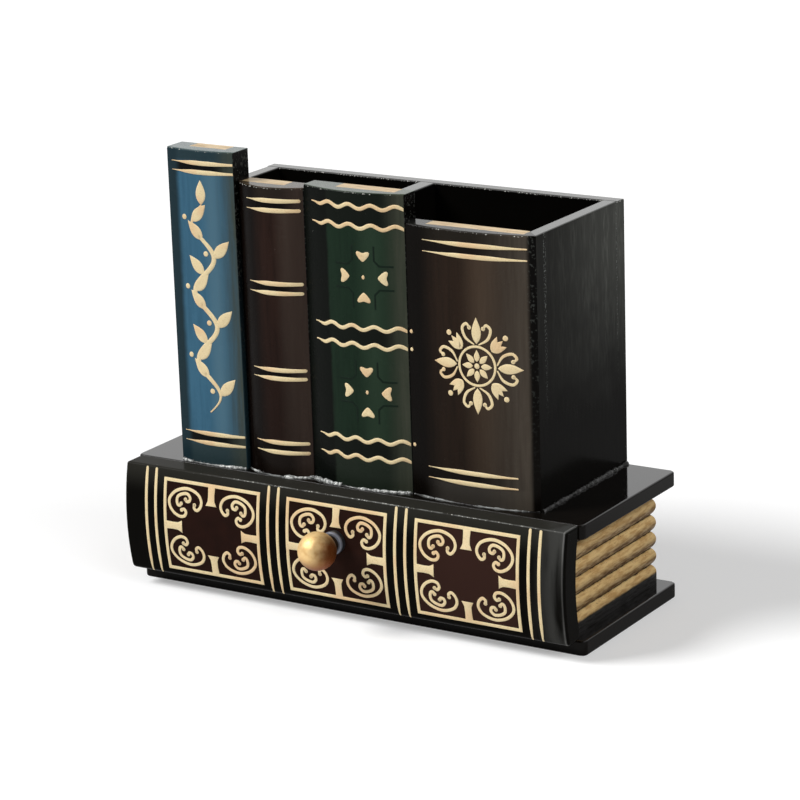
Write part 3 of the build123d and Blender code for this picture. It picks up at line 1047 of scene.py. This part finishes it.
def bar_outline(root, tip):
    """Outline of a bar from a panel's frame inward, flared at its end."""
    along = Vector(tip) - Vector(root)
    aside = Vector((-along.y, along.x)).normalized()
    upper = [Vector(root) + along * share + aside * width / 2 for share, width in bar_widths]
    lower = [Vector(root) + along * share - aside * width / 2 for share, width in reversed(bar_widths)]
    return [tuple(p) for p in upper + lower]


def panel(relief, centre):
    """A line frame with four bars and a pair of scrolls in each corner."""
    half_wide, half_high = panel_width / 2, panel_height / 2
    wide, high = half_wide - panel_line / 2, half_high - panel_line / 2

    def at(x, z):
        return (centre[0] + x, centre[1] + z)

    edge = [(-wide, -high), (wide, -high), (wide, high), (-wide, high), (-wide, -high)]
    path = [at(x, z) for x, z in bent_line(edge, panel_line_steps)]
    relief.stroke(path, [panel_line] * len(path), closed=True)
    for sign in (-1, 1):
        relief.plate(bar_outline(at(0, sign * high), at(0, sign * (half_high - bar_length))))
        relief.plate(bar_outline(at(sign * wide, 0), at(sign * (half_wide - bar_length), 0)))
    for hand in (-1, 1):
        for head in (-1, 1):
            for shares in (big_scroll_shares, small_scroll_shares):
                points = [at(-hand * half_wide * u, head * half_high * v) for u, v in shares]
                path = smooth(points, scroll_steps)
                relief.stroke(*capped(path, [scroll_width] * len(path)))
                relief.dot(points[0], scroll_ball)
                relief.dot(points[-1], scroll_ball)


def drawer_gilding(relief):
    """Three scrolled panels with upright rules between them."""
    upright_shape_shares = (0.6, 0.9, 0.15, 0.9)
    foot = relief.low.z + upright_foot_margin
    head = relief.high.z - upright_head_margin
    for step in (-1, 0, 1):
        panel(relief, (step * panel_pitch, relief.low.z + panel_middle_rise))
    for offset in upright_offsets:
        for sign in (-1, 1):
            for side in (-1, 1):
                x = sign * offset + side * upright_gap / 2
                relief.brush(line((x, foot), (x, head), rule_steps), upright_width, upright_shape_shares)


# Set lacquer in the corners

def bead(shape, path, size, draw):
    """A thin uneven run of lacquer along a path."""
    sides, thinnest, thickest = 8, 0.5, 1.25
    rings = []
    for i, spot in enumerate(path):
        ahead = Vector(path[min(i + 1, len(path) - 1)]) - Vector(path[max(i - 1, 0)])
        along = ahead.normalized()
        across = along.cross(Vector((0, 0, 1))).normalized()
        lift = across.cross(along)
        radius = size * draw.uniform(thinnest, thickest)
        ring = []
        for k in range(sides):
            turn = 2 * math.pi * k / sides
            at = Vector(spot) + (across * math.cos(turn) + lift * math.sin(turn)) * radius
            ring.append(shape.verts.new(at * MM))
        rings.append(ring)
    skin(shape, rings)


def foot_path(node, from_x, to_x):
    """Points along the foot of a spine's front, from one x to another."""
    relief = Relief(node)
    relief.mesh.free()
    sunk = 0.1
    foot = relief.low.z
    spots = line((from_x, foot), (to_x, foot), int((to_x - from_x) / bead_step))
    return [(x, relief.front(x, z + bead_radius)[0].y + sunk, z) for x, z in spots]


def joint_beads(lacquer):
    """Lacquer runs where the spines and the side walls stand on the top board."""
    seed = 7
    draw = random.Random(seed)
    shape = bmesh.new()
    for node in spine_looks:
        low, high = corners(node)
        bead(shape, foot_path(node, low.x + edge_keep, high.x - edge_keep), bead_radius, draw)
    for node, start, end, radius in thick_runs:
        bead(shape, foot_path(node, start, end), radius, draw)
    back = corners("rack_back_wall")[1].y
    right, left = corners("rack_right_wall"), corners("rack_left_wall")
    for x, low in ((right[1].x, right[0]), (left[0].x, left[0])):
        path = line((x, low.y, low.z), (x, back, low.z), int((back - low.y) / bead_step))
        bead(shape, path, wall_bead_radius, draw)
    add_piece("joint_beads", "case", shape, lacquer)


# Stage

@material
def floor_paint():
    """Pale floor, lifted to white for the camera and in reflections, that still takes the shadow."""
    paint(mix(noise(floor_cloud, some), floor_tone, floor_shade_tone))
    put("Roughness", floor_roughness)
    put("Specular IOR Level", 0.0)
    put("Emission Color", white)
    put("Emission Strength", times(seen(), floor_lift))


def build_floor():
    reach = floor_reach * MM
    mesh = bpy.data.meshes.new("floor")
    corner_points = [(-reach, -reach, 0), (reach, -reach, 0), (reach, reach, 0), (-reach, reach, 0)]
    mesh.from_pydata(corner_points, [], [(0, 1, 2, 3)])
    mesh.materials.append(floor_paint("pale_floor"))
    floor = new_object("floor", mesh)


def build_world():
    """Soft light from all round, brighter from above; white to the camera and in reflections at the back."""
    world = bpy.data.worlds.new("studio")
    bpy.context.scene.world = world
    world.use_nodes = True
    now.tree = world.node_tree
    way = outputs("SeparateXYZ", {0: outputs("TexCoord", {})["Generated"]})
    strength = blend(ramp(way["Z"], *dome_heights), dome_low_strength, dome_high_strength)
    dome = outputs("Background", {"Color": white, "Strength": strength})[0]
    backdrop = outputs("Background", {"Color": white})[0]
    both = outputs("MixShader", {0: seen(ramp(way["Y"], *mirror_reaches)), 1: dome, 2: backdrop})[0]
    feed(now.tree.nodes["World Output"].inputs["Surface"], both)


def direction(azimuth, elevation):
    """The direction towards that side and height; azimuth 0 is the front and 90 the right."""
    a, e = math.radians(azimuth), math.radians(elevation)
    return Vector((math.sin(a) * math.cos(e), -math.cos(a) * math.cos(e), math.sin(e)))


def soft_sun(name, azimuth, elevation, strength, spread):
    lamp = bpy.data.lights.new(name, "SUN")
    lamp.energy = strength
    lamp.angle = math.radians(spread)
    holder = new_object(name, lamp)
    holder.rotation_euler = direction(azimuth, elevation).to_track_quat("Z", "Y").to_euler()


def build_camera():
    roll = math.radians(camera_roll)
    back = direction(camera_azimuth, camera_elevation)
    level = Vector((0, 0, 1)).cross(back).normalized()
    up = back.cross(level)
    right = level * math.cos(roll) + up * math.sin(roll)
    top = up * math.cos(roll) - level * math.sin(roll)
    data = bpy.data.cameras.new("camera")
    data.lens = camera_lens
    data.sensor_width = camera_sensor
    camera = new_object("camera", data)
    turn = Matrix((right, top, back)).transposed().to_4x4()
    camera.matrix_world = Matrix.Translation(camera_place * MM) @ turn
    bpy.context.scene.camera = camera


# The object

def dress(coat, *nodes):
    for node in nodes:
        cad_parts[node].data.materials.clear()
        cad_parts[node].data.materials.append(coat)


def dress_nodes():
    """A material for every CAD node."""
    few_chips_share, chips_share = 0.24, 0.43
    for node in ("bottom_board", "top_board"):
        dress(board_lacquer(node + "_lacquer", node), node)
    seams = (corners("broad_spine")[1].y, corners("rack_right_wall")[1].y)
    walls = (("rack_left_wall", ("left",), seams, few_chips_share),
             ("rack_right_wall", ("right",), seams, few_chips_share),
             ("rack_back_wall", ("left", "right", "back"), (), chips_share),
             ("rack_divider", (), (), few_chips_share))
    for node, outer, joints, chips in walls:
        dress(wall_lacquer(node + "_lacquer", node, outer, joints, chips), node)
    for node in ("left_page_block", "right_page_block", "rear_page_block"):
        dress(gilt_pages("gilt_" + node, node), node)
    for node, look in spine_looks.items():
        dress(spine_paint(look.paint, node, look), node)
    dress(drawer_paint("drawer_paint"), "drawer_front")
    wood = stained_wood("stained_wood")
    dress(wood, "drawer_left_side", "drawer_right_side", "drawer_back", "drawer_floor")
    dress(antique_brass("antique_brass"), "knob")
    dress(screw_steel("grey_steel"), "knob_screw")
    dress(lacquered_steel("lacquered_steel"), "base_brads", "rack_brads", "wall_brads", "drawer_brads")
    dress(washer_steel("washer_steel"), "knob_washer")


def build_scene():
    bpy.context.scene.view_settings.view_transform = "Standard"
    dress_nodes()
    gilt = gilt_print("gilt_print")
    gildings = (("blue_gilding", "case", "blue_spine", blue_gilding),
                ("brown_gilding", "case", "brown_spine", brown_gilding),
                ("green_gilding", "case", "green_spine", green_gilding),
                ("broad_gilding", "case", "broad_spine", broad_gilding),
                ("drawer_gilding", "drawer", "drawer_front", drawer_gilding))
    for name, body, node, draw in gildings:
        relief = Relief(node)
        draw(relief)
        add_piece(name, body, relief.mesh, gilt)
    green_drawing(dark_line("dark_line"))
    joint_beads(bead_lacquer("bead_lacquer"))
    build_floor()
    build_world()
    for sun in suns:
        soft_sun(*sun)
    build_camera()


build_scene()
